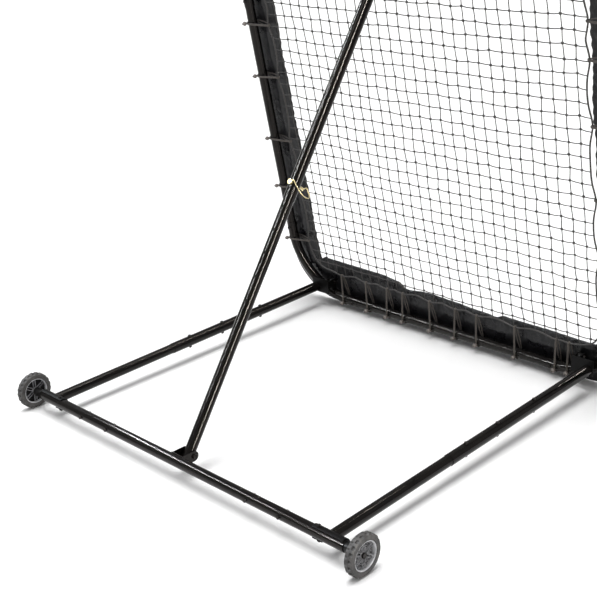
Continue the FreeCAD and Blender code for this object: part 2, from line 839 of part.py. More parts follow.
def base_fastener(maker):
    """Every bolt, or every nut, of the base's tube joints."""
    pieces = []
    for side in (-1, 1):
        for x in bar_bolt_xs:
            grip = tube_od + 2 * seat
            pieces.append(maker(bar_point(side * x), Y_AXIS, grip, bolt_d, head_across,
                                head_t))
        grip = 2 * (tube_r + seat + saddle_wall) + 2 * seat
        pieces.append(maker(bar_point(side * saddle_bolt_x), V(0, 0, -1), grip, bolt_d,
                            head_across, head_t))
        for y in side_bolt_ys:
            at = side_point(y)
            at = V(side * at.x, at.y, at.z)
            pieces.append(maker(at, V(0, 0, -1), sleeve_od + 4 * seat, bolt_d,
                                head_across, head_t))
    return group(pieces)


def frame_bolt(*sizes):
    return bolt(*sizes, tip=flat_tip_out)


def frame_fastener(maker):
    pieces = []
    for spot, _ in frame_bolt_spots():
        pieces.append(maker(spot, Y_AXIS, sleeve_od + 2 * seat, bolt_d, head_across,
                            flat_head_t))
    return leaned(group(pieces))


def hinge_fastener(maker):
    pieces = []
    grip = lug_t + 2 * fork_gap + 2 * fork_ear_t + 2 * seat
    for side in (-1, 1):
        at = V(side * hinge_x, hinge_point.y, hinge_point.z)
        pieces.append(maker(at, X_AXIS * -1, grip, hinge_d, 16.0, 6.0))
    return group(pieces)


os.makedirs("parts", exist_ok=True)

# wheels
save_pair("tyre", on_axle(make_tyre()))
save_pair("rim", on_axle(make_rim()))

# base
save("rear_bar_centre", make_bar_piece(-bar_seam_x, bar_seam_x))
save_pair("rear_bar_end", make_bar_piece(bar_seam_x, bar_end_x))
save_pair("bar_coupler", make_coupler())
save("bar_buttons", group([make_button(s * x) for s in (-1, 1) for x in button_xs]))
save_pair("axle_spacer", make_spacer())
axle = make_axle()
save("axle_bolts", group([axle, mirrored(axle)]))
save_pair("saddle", make_saddle())
save_pair("side_tube_rear", make_side_rear())
save_pair("side_tube_front", make_side_front())
save_pair("hinge_fork", make_hinge_fork())
save("base_bolts", base_fastener(bolt))
save("base_nuts", base_fastener(nut))
save("hinge_bolts", hinge_fastener(bolt))
save("hinge_nuts", hinge_fastener(nut))
save("strut_clevis", make_clevis())
foot_grip = clevis_gap + 2 * clevis_t + 2 * seat
save("foot_bolt", bolt(foot_point, X_AXIS * -1, foot_grip, foot_bolt_d, 16.0, 6.0))
save("foot_nut", nut(foot_point, X_AXIS * -1, foot_grip, foot_bolt_d, 16.0, 6.0))

# strut
save("strut_inner_tube", make_inner_strut())
save("strut_outer_tube", make_outer_strut())
save("strut_head", make_strut_head())
save("lock_pin", make_lock_pin())
save("lock_pin_bail", make_bail())

# net frame
for sx, side_name in ((-1, "left"), (1, "right")):
    save("frame_corner_lower_" + side_name, leaned(make_corner(sx, False)))
    save("frame_corner_upper_" + side_name, leaned(make_corner(sx, True)))
straight_x = half_w - bend_r - corner_tail + frame_insert
for name, z in (("frame_tube_bottom", frame_z), ("frame_tube_top", top_z)):
    start = V(-straight_x, -tube_back, z)
    save(name, leaned(make_straight(start, V(straight_x, -tube_back, z))))
straight_z = frame_z + bend_r + corner_tail - frame_insert
upright = make_straight(V(half_w, -tube_back, straight_z),
                        V(half_w, -tube_back, top_z + frame_z - straight_z))
save_pair("frame_tube_side", leaned(upright))
save("frame_bolts", frame_fastener(frame_bolt))
save("frame_nuts", frame_fastener(nut))
save_pair("hinge_lug", leaned(make_hinge_lug()))
save("top_clevis", make_top_clevis())
head_grip = top_ear_gap + 2 * clevis_t + 2 * seat
save("head_bolt", bolt(head_point, X_AXIS * -1, head_grip, head_bolt_d, 16.0, 6.0))
save("head_nut", nut(head_point, X_AXIS * -1, head_grip, head_bolt_d, 16.0, 6.0))

# soft parts
save("net", leaned(make_net()))
save("net_rope", leaned(make_rope()))
spots = loop_spots()
save("bungee_loops", leaned(group([make_loop(*spot) for spot in spots])))
save("bungee_balls", leaned(group([make_ball(*spot) for spot in spots])))
under_floor = box(-pad_x, pad_x, -front_y, front_y, -pad_t * 2, 0)
save("pad_bottom", leaned(make_pad_end(False)).cut(under_floor))
save("pad_top", leaned(make_pad_end(True)))
save_pair("pad_side", leaned(make_pad_side()))
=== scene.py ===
import json
import math
import random

import bmesh
import bpy
from mathutils import Matrix, Vector, noise


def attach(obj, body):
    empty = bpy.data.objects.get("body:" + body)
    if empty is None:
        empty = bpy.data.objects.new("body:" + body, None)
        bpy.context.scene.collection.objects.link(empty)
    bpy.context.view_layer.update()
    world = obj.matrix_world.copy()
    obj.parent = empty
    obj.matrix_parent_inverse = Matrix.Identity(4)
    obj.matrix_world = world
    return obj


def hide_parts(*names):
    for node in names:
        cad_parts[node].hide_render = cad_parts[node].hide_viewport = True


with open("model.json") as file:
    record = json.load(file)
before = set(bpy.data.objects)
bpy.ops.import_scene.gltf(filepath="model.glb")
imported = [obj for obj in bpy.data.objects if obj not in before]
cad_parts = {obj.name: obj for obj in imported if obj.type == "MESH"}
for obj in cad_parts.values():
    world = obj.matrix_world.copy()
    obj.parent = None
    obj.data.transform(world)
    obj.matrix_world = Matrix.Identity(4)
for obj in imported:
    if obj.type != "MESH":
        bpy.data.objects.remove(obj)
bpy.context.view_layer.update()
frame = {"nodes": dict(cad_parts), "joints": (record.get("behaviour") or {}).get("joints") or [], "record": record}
nodes = frame["nodes"]

# --- sizes shared with the CAD, in metres ---------------------------------------
LEAN = math.radians(11.67)
TUBE_R = 0.020
SLEEVE_R = 0.0217         # the net frame's corner tubes
WHEEL_MID = 0.844         # a wheel's middle, from the bar's middle
FRAME_AHEAD = 1.570       # the pad's bottom rear edge, in front of the rear bar
HALF_W = 0.850            # the uprights' axes
FRAME_Z = 0.055           # the bottom and top tubes' axes, up the pad's rear face
TOP_Z = 1.775
TUBE_OFF = -0.027         # the tubes' axes, behind the pad's rear face
BEND_R = 0.290
HINGE_X = 0.655
HINGE_H = 0.127
ROPE_X = 0.758            # the border rope's ring
ROPE_Z0 = 0.178
ROPE_Z1 = 1.652
ROPE_MID = (ROPE_Z0 + ROPE_Z1) / 2
ROPE_CORNER = 0.090
ROPE_R = 0.0034
PAD_X = 0.910
PAD_H = 1.830
PAD_CORNER = 0.245
PAD_T = 0.025
# the elastic loops' places along the bottom and top tubes, and up the uprights
LOOP_XS = [HALF_W * share for share in (-0.678, -0.507, -0.373, -0.266, -0.085, 0.066, 0.200,
                                        0.425, 0.646, 0.714)]
LOOP_ZS = [FRAME_Z + (TOP_Z - FRAME_Z) * share for share in (0.156, 0.313, 0.449, 0.619,
                                                             0.755, 0.834)]

joints = {j["name"]: j for j in frame["joints"]}
FOOT = Vector(joints["strut_swing"]["pos_m"])
STRUT_DIR = Vector(joints["strut_slide"]["axis"]).normalized()
PIN_DIR = -Vector(joints["pin_pull"]["axis"]).normalized()
BAR_Y = joints["wheel_spin_right"]["pos_m"][1]
PLANE_Y = BAR_Y + FRAME_AHEAD
OUT = Vector((0, math.cos(LEAN), math.sin(LEAN)))
UP = Vector((0, -math.sin(LEAN), math.cos(LEAN)))


def on_frame(x, off, h):
    """A point of the net frame: across, in front of the pad's rear face, and up."""
    return Vector((x, PLANE_Y, 0)) + OUT * off + UP * h


# --- materials ------------------------------------------------------------------
class Mat:
    """A node material, built up a layer at a time."""

    def __init__(self, name, **sockets):
        self.mat = bpy.data.materials.new(name)
        self.mat.use_nodes = True
        self.tree = self.mat.node_tree
        self.shader = self.tree.nodes["Principled BSDF"]
        for key, value in sockets.items():
            self.shader.inputs[key.replace("_", " ")].default_value = value

    def add(self, kind, **values):
        node = self.tree.nodes.new(kind)
        for key, value in values.items():
            if key in node.inputs:
                node.inputs[key].default_value = value
            else:
                setattr(node, key, value)
        return node

    def link(self, a, out, b, into):
        self.tree.links.new(a.outputs[out], b.inputs[into])

    def coords(self, scale=(1, 1, 1)):
        place = self.add("ShaderNodeTexCoord")
        mapping = self.add("ShaderNodeMapping")
        mapping.inputs["Scale"].default_value = scale
        self.link(place, "Object", mapping, "Vector")
        return mapping

    def noise(self, scale, detail=4.0, rough=0.55, stretch=(1, 1, 1)):
        node = self.add("ShaderNodeTexNoise", Scale=scale, Detail=detail, Roughness=rough)
        self.link(self.coords(stretch), "Vector", node, "Vector")
        return node

    def ramp(self, source, out, low, high, stops=(0.35, 0.65)):
        node = self.add("ShaderNodeValToRGB")
        node.color_ramp.elements[0].position = stops[0]
        node.color_ramp.elements[1].position = stops[1]
        node.color_ramp.elements[0].color = (*low, 1)
        node.color_ramp.elements[1].color = (*high, 1)
        self.link(source, out, node, "Fac")
        return node

    def colour(self, source, out, low, high, stops=(0.35, 0.65)):
        self.link(self.ramp(source, out, low, high, stops), "Color", self.shader, "Base Color")

    def roughness(self, source, out, low, high, stops=(0.3, 0.7)):
        node = self.add("ShaderNodeMapRange")
        node.inputs["From Min"].default_value = stops[0]
        node.inputs["From Max"].default_value = stops[1]
        node.inputs["To Min"].default_value = low
        node.inputs["To Max"].default_value = high
        self.link(source, out, node, "Value")
        self.link(node, "Result", self.shader, "Roughness")

    def bump(self, source, out, strength, distance):
        node = self.add("ShaderNodeBump", Strength=strength, Distance=distance)
        self.link(source, out, node, "Height")
        last = self.shader.inputs["Normal"]
        if last.is_linked:
            self.tree.links.new(last.links[0].from_socket, node.inputs["Normal"])
        self.link(node, "Normal", self.shader, "Normal")


def powder_coat():
    """Glossy black paint on the tubes."""
    m = Mat("powder_coat", Roughness=0.2)
    m.shader.inputs["Specular IOR Level"].default_value = 0.19
    m.shader.inputs["Specular Tint"].default_value = (1.0, 0.93, 0.88, 1)
    wear = m.noise(9.0, 6.0)
    m.colour(wear, "Fac", (0.0020, 0.0018, 0.0018), (0.0060, 0.0052, 0.0048))
    m.roughness(m.noise(14.0, 4.0), "Fac", 0.09, 0.14)
    return m.mat


def steel(name, low, high, rough, bump=0.2):
    m = Mat(name, Metallic=1.0)
    m.colour(m.noise(160.0, 5.0), "Fac", low, high)
    m.roughness(m.noise(90.0, 4.0), "Fac", rough - 0.1, rough + 0.12)
    m.bump(m.noise(1400.0, 3.0), "Fac", bump, 0.0002)
    return m.mat


def moulded(name, low, high, rough, grain=700.0, bump=0.25):
    m = Mat(name)
    m.colour(m.noise(35.0, 5.0), "Fac", low, high)
    m.roughness(m.noise(60.0, 4.0), "Fac", rough - 0.08, rough + 0.1)
    m.bump(m.noise(grain, 3.0), "Fac", bump, 0.0003)
    return m.mat


def dull(material, level):
    """The same material with a weaker mirror."""
    shader = material.node_tree.nodes["Principled BSDF"]
    shader.inputs["Specular IOR Level"].default_value = level
    return material


def cloth(name, low, high, rough, weave=1100.0, sheen=0.25, tint=(0.6, 0.65, 1.0)):
    """Woven cover: two crossed threads, painted crease shade in the colour as random darker mottling, and a soft
    sheen.
    """
    m = Mat(name, Sheen_Weight=sheen, Sheen_Roughness=0.4)
    m.shader.inputs["Specular IOR Level"].default_value = 0.28
    m.shader.inputs["Sheen Tint"].default_value = (*tint, 1)
    # random darker patches in the base colour: painted shade standing in for creases
    m.colour(m.noise(22.0, 8.0, 0.65), "Fac", low, high, (0.38, 0.66))
    m.roughness(m.noise(14.0, 5.0), "Fac", rough - 0.1, rough + 0.12)
    for direction in ("X", "Z"):
        thread = m.add("ShaderNodeTexWave", Scale=weave / 6.3, Distortion=0.4)
        thread.bands_direction = direction
        m.link(m.coords(), "Vector", thread, "Vector")
        m.bump(thread, "Fac", 0.18, 0.0002)
    m.bump(m.noise(120.0, 6.0, 0.7, (1, 1, 0.5)), "Fac", 0.35, 0.0015)
    return m.mat


def felt(name, low, high):
    m = Mat(name, Roughness=0.95, Sheen_Weight=0.35, Sheen_Roughness=0.6)
    m.colour(m.noise(130.0, 6.0, 0.8), "Fac", low, high, (0.40, 0.62))
    m.bump(m.noise(650.0, 5.0, 0.8), "Fac", 0.8, 0.0012)
    return m.mat


def twisted(name, low, high, turns=420.0, rough=0.7):
    """Twine or braided elastic: slanting strands in bump and colour."""
    m = Mat(name, Roughness=rough)
    strands = m.add("ShaderNodeTexWave", Scale=turns, Distortion=1.5)
    strands.bands_direction = "DIAGONAL"
    m.link(m.coords(), "Vector", strands, "Vector")
    m.colour(m.noise(500.0, 4.0), "Fac", low, high)
    m.bump(strands, "Fac", 0.5, 0.0004)
    return m.mat


MATS = {
    "tube_black": powder_coat(),
    "bolt_dark": steel("bolt_dark", (0.010, 0.009, 0.009), (0.035, 0.032, 0.030), 0.36),
    "yellow_zinc": steel("yellow_zinc", (0.46, 0.37, 0.18), (0.70, 0.60, 0.36), 0.34),
    "tyre_rubber": moulded("tyre_rubber", (0.014, 0.013, 0.013), (0.052, 0.048, 0.046), 0.6),
    "rim_silver": moulded("rim_silver", (0.50, 0.50, 0.52), (0.70, 0.70, 0.72), 0.34, 900, 0.05),
    "black_plastic": dull(moulded("black_plastic", (0.004, 0.004, 0.004),
                                 (0.010, 0.0095, 0.009), 0.30, 900, 0.05), 0.15),
    "net_cord": twisted("net_cord", (0.005, 0.004, 0.0035), (0.018, 0.014, 0.012)),
    "elastic_brown": twisted("elastic_brown", (0.022, 0.016, 0.012), (0.060, 0.045, 0.034), 600),
    "ball_plastic": moulded("ball_plastic", (0.07, 0.058, 0.05), (0.16, 0.135, 0.12), 0.5),
    "pad_cover": cloth("pad_cover", (0.0028, 0.0027, 0.0031), (0.0062, 0.0058, 0.0068), 0.30,
                       sheen=0.03),
}
RIM_GREY = moulded("rim_grey", (0.17, 0.17, 0.18), (0.30, 0.30, 0.31), 0.40, 900, 0.05)
# near-black and nearly without a mirror: painted shade for the rim's windows and holes
RIM_PAINTED_SHADE = dull(Mat("rim_painted_shade", Roughness=0.7, Base_Color=(0.004, 0.004, 0.0045, 1)).mat, 0.06)
FELT = felt("pad_felt", (0.006, 0.0055, 0.005), (0.085, 0.074, 0.066))
BRACKET = dull(Mat("bracket_coat", Roughness=0.38, Base_Color=(0.003, 0.0028, 0.0028, 1)).mat,
               0.10)
SLOT_OF = {s["node"]: s["material_slot"] for s in frame["record"]["subparts"]}

for name, obj in nodes.items():
    obj.data.materials.clear()
    flat = name.startswith(("hinge_fork", "hinge_lug", "saddle"))
    obj.data.materials.append(BRACKET if flat else MATS[SLOT_OF[name]])


# --- mesh helpers ---------------------------------------------------------------
def new_object(name, mesh, slot, smooth=True, material=None):
    obj = bpy.data.objects.new(name, mesh)
    bpy.context.scene.collection.objects.link(obj)
    obj.data.materials.append(material or MATS[slot])
    if smooth:
        mesh.polygons.foreach_set("use_smooth", [True] * len(mesh.polygons))
    return obj


def mesh_from(name, verts, faces):
    mesh = bpy.data.meshes.new(name)
    mesh.from_pydata([tuple(v) for v in verts], [], faces)
    mesh.update()
    return mesh


def face_outwards(mesh):
    bm = bmesh.new()
    bm.from_mesh(mesh)
    bmesh.ops.recalc_face_normals(bm, faces=bm.faces)
    bm.to_mesh(mesh)
    bm.free()


def frame_of(tangent, hint):
    """Two directions across a tangent, the second one near the hint."""
    side = tangent.cross(hint)
    if side.length < 1e-6:
        side = tangent.cross(Vector((1, 0, 0)))
    side.normalize()
    return side, side.cross(tangent).normalized()


class Soup:
    """Collects many small tubes and lumps into one mesh."""

    def __init__(self):
        self.verts = []
        self.faces = []

    def tube(self, points, radius, sides, hint=Vector((0, 0, 1)), closed=False):
        base = len(self.verts)
        count = len(points)
        for i, p in enumerate(points):
            before = points[i - 1] if i or closed else points[0]
            after = points[(i + 1) % count] if i < count - 1 or closed else points[-1]
            tangent = (after - before).normalized()
            side, up = frame_of(tangent, hint)
            for k in range(sides):
                a = 2 * math.pi * k / sides
                self.verts.append(p + side * (radius * math.cos(a))
                                  + up * (radius * math.sin(a)))
        last = count if closed else count - 1
        for i in range(last):
            for k in range(sides):
                a = base + i * sides + k
                b = base + i * sides + (k + 1) % sides
                c = base + ((i + 1) % count) * sides + (k + 1) % sides
                d = base + ((i + 1) % count) * sides + k
                self.faces.append((a, b, c, d))
        if not closed:
            self.faces.append(tuple(base + k for k in reversed(range(sides))))
            end = base + (count - 1) * sides
            self.faces.append(tuple(end + k for k in range(sides)))

    def ball(self, centre, radii, rings, segments, axes):
        """An ellipsoid with its three radii along three axes."""
        base = len(self.verts)
        self.verts.append(centre + axes[2] * radii[2])
        for i in range(1, rings):
            t = math.pi * i / rings
            for k in range(segments):
                a = 2 * math.pi * k / segments
                self.verts.append(
                    centre
                    + axes[0] * (radii[0] * math.sin(t) * math.cos(a))
                    + axes[1] * (radii[1] * math.sin(t) * math.sin(a))
                    + axes[2] * (radii[2] * math.cos(t))
                )
        self.verts.append(centre - axes[2] * radii[2])
        end = len(self.verts) - 1
        for k in range(segments):
            n = (k + 1) % segments
            self.faces.append((base, base + 1 + k, base + 1 + n))
            for i in range(rings - 2):
                a = base + 1 + i * segments
                b = a + segments
                self.faces.append((a + k, b + k, b + n, a + n))
            a = base + 1 + (rings - 2) * segments
            self.faces.append((a + k, end, a + n))

    def build(self, name, slot, material=None):
        return new_object(name, mesh_from(name, self.verts, self.faces), slot,
                          material=material)


def smooth_noise(seed, waves, strength):
    """A smooth function of one length, from a few seeded sines."""
    r = random.Random(seed)
    parts = [(r.uniform(0.6, 1.4) * w, r.uniform(0, 6.28), r.uniform(0.5, 1)) for w in waves]
    total = sum(p[2] for p in parts)

    def value(t):
        return strength * sum(a * math.sin(w * t + p) for w, p, a in parts) / total

    return value


# --- border rope and net --------------------------------------------------------
def bend_rise(across, radius):
    """How far a corner bend has left its straight, at a distance in from its side."""
    if across >= radius:
        return 0.0
    return radius - math.sqrt(radius ** 2 - (radius - across) ** 2)


def loop_points():
    """(tube point, rope point) in frame coordinates (x, h), for every loop."""
    spots = []
    for x in LOOP_XS:
        up = bend_rise(HALF_W - abs(x), BEND_R)
        rope_up = bend_rise(ROPE_X - abs(x), ROPE_CORNER)
        spots.append(((x, FRAME_Z + up), (x, ROPE_Z0 + rope_up)))
        spots.append(((x, TOP_Z - up), (x, ROPE_Z1 - rope_up)))
    for h in LOOP_ZS:
        across = min(h - FRAME_Z, TOP_Z - h)
        x = HALF_W - bend_rise(across, BEND_R)
        for side in (-1, 1):
            spots.append(((side * x, h), (side * ROPE_X, h)))
    return spots


SPOTS = loop_points()
SCALLOP = 0.016


def near_loop(x, h, reach):
    """One at the rope end of an elastic loop, and nought away from all of them."""
    near = min(math.hypot(x - r[0], h - r[1]) for _, r in SPOTS)
    return math.exp(-(near / reach) ** 2)


def rope_pull(x, h):
    """How far the net pulls the rope in at a point, for a scallop between two loops."""
    return SCALLOP * (1 - near_loop(x, h, 0.055))


def rounded_ring(half, low, high, corner, step):
    """Points round a rectangle with rounded corners, with their ways inwards."""
    ring = []
    mid = (low + high) / 2
    spots = ((1, 1, 0), (-1, 1, 90), (-1, -1, 180), (1, -1, 270))
    for i, (sx, sz, start) in enumerate(spots):
        cx = sx * (half - corner)
        cz = mid + sz * ((high - low) / 2 - corner)
        count = max(6, int(corner * math.pi / 2 / step))
        for k in range(count + 1):
            a = math.radians(start + 90 * k / count)
            ring.append((cx + corner * math.cos(a), cz + corner * math.sin(a),
                         -math.cos(a), -math.sin(a)))
        nx, nz, _ = spots[(i + 1) % 4]
        x0, z0 = ring[-1][0], ring[-1][1]
        if nx != sx:
            end = (nx * (half - corner), z0)
        else:
            end = (x0, mid + nz * ((high - low) / 2 - corner))
        length = math.hypot(end[0] - x0, end[1] - z0)
        runs = max(2, int(length / step))
        inward = (ring[-1][2], ring[-1][3])
        for k in range(1, runs):
            t = k / runs
            ring.append((x0 + (end[0] - x0) * t, z0 + (end[1] - z0) * t, *inward))
    return ring


def rope_ring():
    ring = []
    for x, h, ix, iz in rounded_ring(ROPE_X, ROPE_Z0, ROPE_Z1, ROPE_CORNER, 0.012):
        pull = rope_pull(x, h)
        ring.append(on_frame(x + ix * pull, TUBE_OFF, h + iz * pull))
    return ring


def build_rope():
    soup = Soup()
    soup.tube(rope_ring(), ROPE_R, 8, OUT, closed=True)
    obj = soup.build("border_rope", "net_cord")
    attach(obj, "net_frame")
    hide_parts("net_rope")


def edge_of_net(x, h):
    """Moves a point of the square grid in to the rope where it would pass it."""
    half_h = (ROPE_Z1 - ROPE_Z0) / 2
    dx = abs(x) - (ROPE_X - ROPE_CORNER)
    dh = abs(h - ROPE_MID) - (half_h - ROPE_CORNER)
    if dx > 0 and dh > 0:
        reach = math.hypot(dx, dh)
        if reach > ROPE_CORNER:
            scale = ROPE_CORNER / reach
            x = math.copysign(ROPE_X - ROPE_CORNER + dx * scale, x)
            h = ROPE_MID + math.copysign(half_h - ROPE_CORNER + dh * scale, h - ROPE_MID)
    return x, h


NET_SQUARE = 0.050
TWINE_R = 0.0020
SLACK = 0.0030            # how far a knot strays from the square grid
SHORT = 0.012             # shorter twine than this, at a corner, is left out
COLS = int(round(2 * ROPE_X / NET_SQUARE))
ROWS = int(round((ROPE_Z1 - ROPE_Z0) / NET_SQUARE))


def net_grid(jit):
    """Where the knots are, and the ends of the twine on the rope."""
    sway = smooth_noise(3, (3.0, 7.0, 13.0), 0.004)
    lift = smooth_noise(5, (2.0, 5.0, 11.0), 0.004)
    grid = {}
    for i in range(COLS + 1):
        for j in range(ROWS + 1):
            x = -ROPE_X + 2 * ROPE_X * i / COLS
            h = ROPE_Z0 + (ROPE_Z1 - ROPE_Z0) * j / ROWS
            if i in (0, COLS) or j in (0, ROWS):
                x, h = edge_of_net(x, h)
                pull = rope_pull(x, h) * 0.9
                if i in (0, COLS):
                    x -= math.copysign(pull, x)
                if j in (0, ROWS):
                    h -= math.copysign(pull, h - ROPE_MID)
            else:
                x += sway(h * 1.3 + x * 0.7) + jit.uniform(-SLACK, SLACK)
                h += lift(x * 1.2 + h * 0.5) + jit.uniform(-SLACK, SLACK)
                x, h = edge_of_net(x, h)
            grid[i, j] = (x, h)
    return grid


def knot(soup, x, h, jit):
    r = jit.uniform(0.0046, 0.0058)
    tilt = jit.uniform(-0.4, 0.4)
    ax = Vector((math.cos(tilt), 0, 0)) + UP * math.sin(tilt)
    axes = (ax, OUT, OUT.cross(ax))
    soup.ball(on_frame(x, TUBE_OFF, h), (r * 1.15, r * 0.8, r), 5, 8, axes)


def build_net():
    jit = random.Random(11)
    grid = net_grid(jit)
    soup = Soup()
    for (i, j), (x, h) in grid.items():
        for di, dj in ((1, 0), (0, 1)):
            other = grid.get((i + di, j + dj))
            on_rope = (di and j in (0, ROWS)) or (dj and i in (0, COLS))
            if other is None or on_rope:
                continue
            a = on_frame(x, TUBE_OFF, h)
            b = on_frame(other[0], TUBE_OFF, other[1])
            if (b - a).length < SHORT:
                continue
            bow = OUT * jit.uniform(-0.0010, 0.0010) + UP * (-0.0012 if di else 0)
            soup.tube([a, (a + b) / 2 + bow, b], TWINE_R, 5, OUT)
        if 0 < i < COLS and 0 < j < ROWS:
            knot(soup, x, h, jit)
    obj = soup.build("knotted_net", "net_cord")
    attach(obj, "net_frame")
    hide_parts("net")


# --- elastic loops --------------------------------------------------------------
CORD_R = 0.0023
ROUND_TUBE = SLEEVE_R + 0.0024        # the elastic's path round the tube and the rope
ROUND_ROPE = ROPE_R + 0.0022
STRAND = 0.0021                       # a strand's middle beside the loop's middle
BALL_OUT = SLEEVE_R + 0.0138          # the ball's middle from the tube's axis
BALL = (0.0092, 0.0092, 0.0086)
COLLAR = (0.0052, 0.0048, 0.0026)
END_KNOT = (0.0036, 0.0036, 0.0026)


def loop_ways(tube_at, rope_at):
    """A loop's length, and its ways from tube to rope and along the tube."""
    flat = Vector((rope_at[0] - tube_at[0], rope_at[1] - tube_at[1]))
    length = flat.length
    flat = flat.normalized()
    way = Vector((flat.x, 0, 0)) + UP * flat.y
    return length, way, OUT.cross(way).normalized()


def bungee(soup, tube_at, rope_at, seed):
    """A doubled elastic: round the outer side of the tube, across its front to the
    rope, round that and across the back to the tube again."""
    length, way, along = loop_ways(tube_at, rope_at)
    tube_c = on_frame(tube_at[0], TUBE_OFF, tube_at[1])
    rope_c = on_frame(rope_at[0], TUBE_OFF, rope_at[1])
    skew = random.Random(seed).uniform(-0.006, 0.006)
    for spread in (-STRAND, STRAND):
        points = []
        for k in range(15):
            a = math.pi * k / 14
            points.append(tube_c - OUT * (ROUND_TUBE * math.cos(a))
                          - way * (ROUND_TUBE * math.sin(a)) + along * spread)
        for k in range(1, 6):
            t = k / 6
            off = ROUND_TUBE + (ROUND_ROPE - ROUND_TUBE) * t
            points.append(tube_c + way * (length * t) + OUT * off
                          + along * (spread * (1 + 2.4 * math.sin(math.pi * t)) + skew * t))
        for k in range(9):
            a = math.pi * k / 8
            points.append(rope_c + OUT * (ROUND_ROPE * math.cos(a))
                          + way * (ROUND_ROPE * math.sin(a)) + along * (spread + skew))
        for k in range(1, 6):
            t = 1 - k / 6
            off = ROUND_TUBE + (ROUND_ROPE - ROUND_TUBE) * t
            points.append(tube_c + way * (length * t) - OUT * off
                          + along * (spread + skew * t))
        soup.tube(points, CORD_R, 7, along, closed=True)


def build_bungees():
    loops = Soup()
    balls = Soup()
    for i, (tube_at, rope_at) in enumerate(SPOTS):
        bungee(loops, tube_at, rope_at, 100 + i)
        _, way, along = loop_ways(tube_at, rope_at)
        # at the sides the ball hangs beside the tube, and else behind it
        outward = 1.0 if abs(way.x) > 0.5 else 0.12
        away = (-way * outward - OUT).normalized()
        centre = on_frame(tube_at[0], TUBE_OFF, tube_at[1]) + away * BALL_OUT
        axes = (along, away.cross(along), away)
        balls.ball(centre, BALL, 12, 18, axes)
        balls.ball(centre - away * 0.0078, COLLAR, 8, 12, axes)
        loops.ball(centre + away * 0.0088, END_KNOT, 6, 10, axes)
    for soup, name, slot, node in ((loops, "elastic_loops", "elastic_brown", "bungee_loops"),
                                   (balls, "loop_balls", "ball_plastic", "bungee_balls")):
        obj = soup.build(name, slot)
        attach(obj, "net_frame")
        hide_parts(node)


# --- wheels ---------------------------------------------------------------------
SPOKES = 6
RIM_R = 0.050
RING_R = 0.029
HUB_R = 0.013
HUB_BORE_R = 0.0064
HUB_IN = 0.0170           # the hub's ends, from the wheel's middle
HUB_OUT = 0.0030
RIB_IN = 0.0055           # middle of a rib beside its spoke's middle
RIB_HALF_T = 0.0011
RIB_HIGH = 0.0065         # face of the ribs outside the wheel's middle
SHADE_DISH = (-0.0020, 0.0005)  # rear and front face of the black dish, a sheet of painted shade filling the windows between the spokes
OUTER_RING_R = RIM_R - 0.0085
# bosses: turn as a share of a spoke's pitch, distance from the axle, radius
BOSSES = ((0.5, 0.0365, 0.0036), (0.34, 0.0215, 0.0026), (0.66, 0.0215, 0.0026),
          (0.0, 0.0360, 0.0030))
# half of the barrel's section: depth inside the rim's radius, and offset
BARREL = ((0.0004, 0.0128), (0.0012, 0.0136), (0.0030, 0.0136), (0.0042, 0.0122),
          (0.0034, 0.0090))
BLOCK = ((0, 1, 3, 2), (4, 6, 7, 5), (0, 4, 5, 1), (2, 3, 7, 6), (1, 5, 7, 3), (0, 2, 6, 4))


